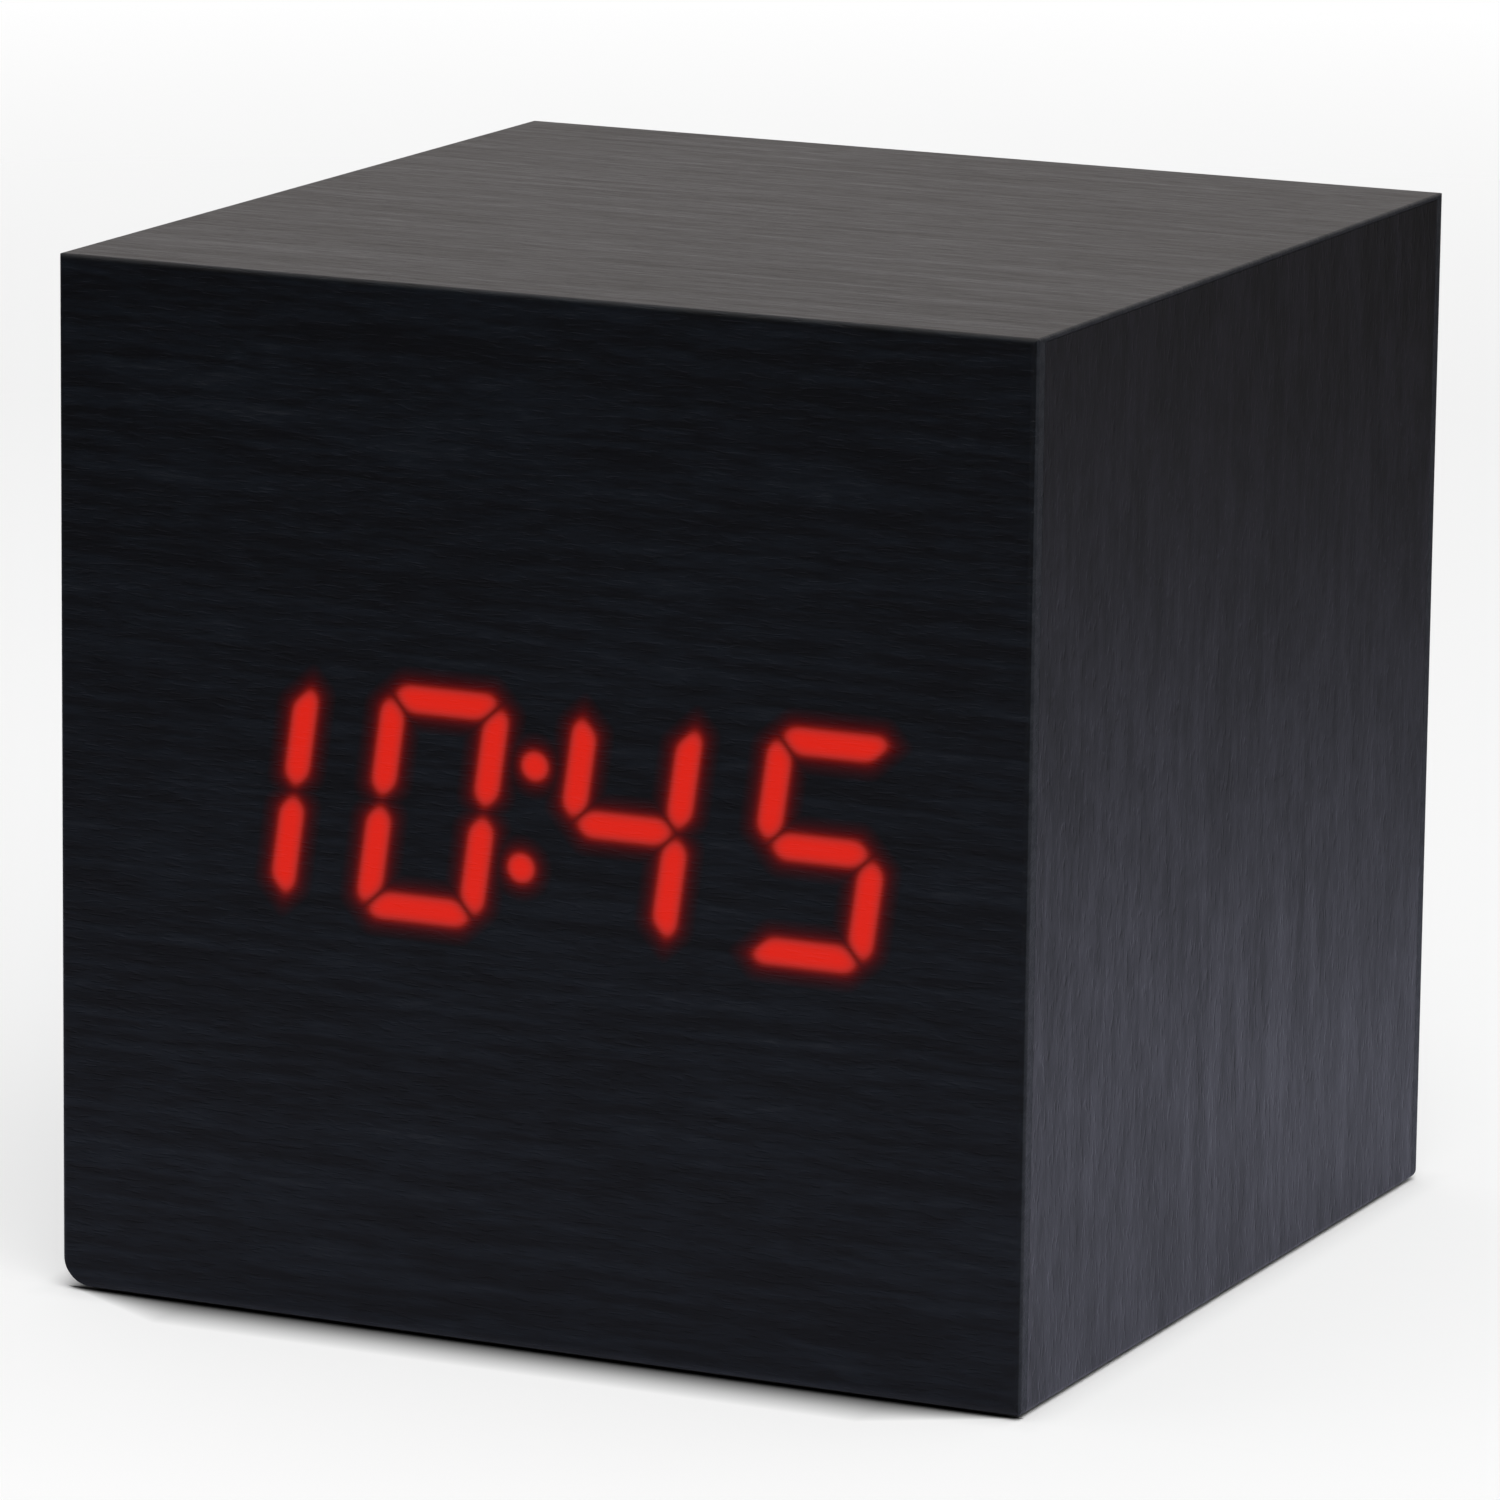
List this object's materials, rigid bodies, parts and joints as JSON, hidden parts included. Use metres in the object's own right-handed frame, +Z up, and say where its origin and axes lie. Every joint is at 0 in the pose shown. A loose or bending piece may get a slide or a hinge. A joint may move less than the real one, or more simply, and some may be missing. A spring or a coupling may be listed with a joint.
{
  "type": "digital desk clock",
  "caption": "Wooden cube desk clock with a seven-segment display shining through the front film, push buttons and a power jack at the back, and a battery bay underneath.",
  "frame": {"origin": "on the table, under the centre of the cube", "axes": "+Z up; the display faces -Y, so the buttons and the power jack face +Y; +X is to the right as the display is read"},
  "size_m": [0.062, 0.062, 0.0622],
  "materials": {
    "grain_film": "satin black wood-grain film",
    "lit_film": "film lit red from behind",
    "fibreboard": "sawn fibreboard, dyed dark",
    "white_plastic": "moulded",
    "diffuser_resin": "cloudy cast resin",
    "foam": "closed-cell foam",
    "light_chip": "clear lens over a chip",
    "circuit_board": "green solder mask",
    "chip_black": "moulded epoxy",
    "black_plastic": "fine spark-eroded texture",
    "button_plastic": "polished moulding",
    "screw_steel": "zinc plated",
    "nickel_contact": "nickel plated spring steel",
    "cell_sleeve": "shrink sleeve over a steel can",
    "foot_rubber": "matt",
    "red_wire": "insulated wire",
    "black_wire": "insulated wire",
    "ribbon_grey": "flat cable",
    "capacitor_sleeve": "shrink sleeve"
  },
  "bodies": {
    "clock": {"wrap_film": "grain_film", "left_film": "grain_film", "right_film": "grain_film", "front_panel": "fibreboard", "back_panel": "fibreboard", "left_panel": "fibreboard", "right_panel": "fibreboard", "top_panel": "fibreboard", "corner_blocks": "fibreboard", "glowing_bars": "lit_film", "display_block": "white_plastic", "segment_diffusers": "diffuser_resin", "light_seal": "foam", "light_chips": "light_chip", "display_board": "circuit_board", "display_driver": "chip_black", "display_screws": "screw_steel", "base_plate": "black_plastic", "base_screws": "screw_steel", "foot_front_left": "foot_rubber", "foot_front_right": "foot_rubber", "foot_rear_left": "foot_rubber", "foot_rear_right": "foot_rubber", "battery_cell_1": "cell_sleeve", "battery_cell_2": "cell_sleeve", "battery_cell_3": "cell_sleeve", "contact_spring_1": "nickel_contact", "contact_spring_2": "nickel_contact", "contact_spring_3": "nickel_contact", "positive_terminal": "nickel_contact", "negative_terminal": "nickel_contact", "cell_link_left": "nickel_contact", "cell_link_right": "nickel_contact", "positive_lead": "red_wire", "negative_lead": "black_wire", "control_plate": "black_plastic", "set_switch_housing": "chip_black", "up_switch_housing": "chip_black", "down_switch_housing": "chip_black", "dc_jack_body": "chip_black", "dc_jack_pin": "nickel_contact", "dc_jack_leaf": "nickel_contact", "main_board": "circuit_board", "board_screws": "screw_steel", "clock_chip": "chip_black", "clock_crystal": "nickel_contact", "smoothing_capacitor": "capacitor_sleeve", "buzzer": "chip_black", "microphone": "nickel_contact", "thermistor": "chip_black", "ribbon_sockets": "white_plastic", "ribbon_cable": "ribbon_grey"},
    "door": {"battery_door": "black_plastic"},
    "set_key": {"set_button": "button_plastic", "set_switch_plunger": "button_plastic"},
    "up_key": {"up_button": "button_plastic", "up_switch_plunger": "button_plastic"},
    "down_key": {"down_button": "button_plastic", "down_switch_plunger": "button_plastic"}
  },
  "joints": [
    {"name": "battery_door_hinge", "type": "hinge", "parent": "clock", "child": "door", "pos_m": [0, 0.01545, 0.0022], "axis": [1, 0, 0], "range_deg": [0, 90]},
    {"name": "set_press", "type": "slide", "parent": "clock", "child": "set_key", "axis": [0, -1, 0], "range_m": [0, 0.0005], "stiffness_N_per_m": 1200, "springref_m": -0.00033},
    {"name": "up_press", "type": "slide", "parent": "clock", "child": "up_key", "axis": [0, -1, 0], "range_m": [0, 0.0005], "stiffness_N_per_m": 1200, "springref_m": -0.00033},
    {"name": "down_press", "type": "slide", "parent": "clock", "child": "down_key", "axis": [0, -1, 0], "range_m": [0, 0.0005], "stiffness_N_per_m": 1200, "springref_m": -0.00033}
  ]
}
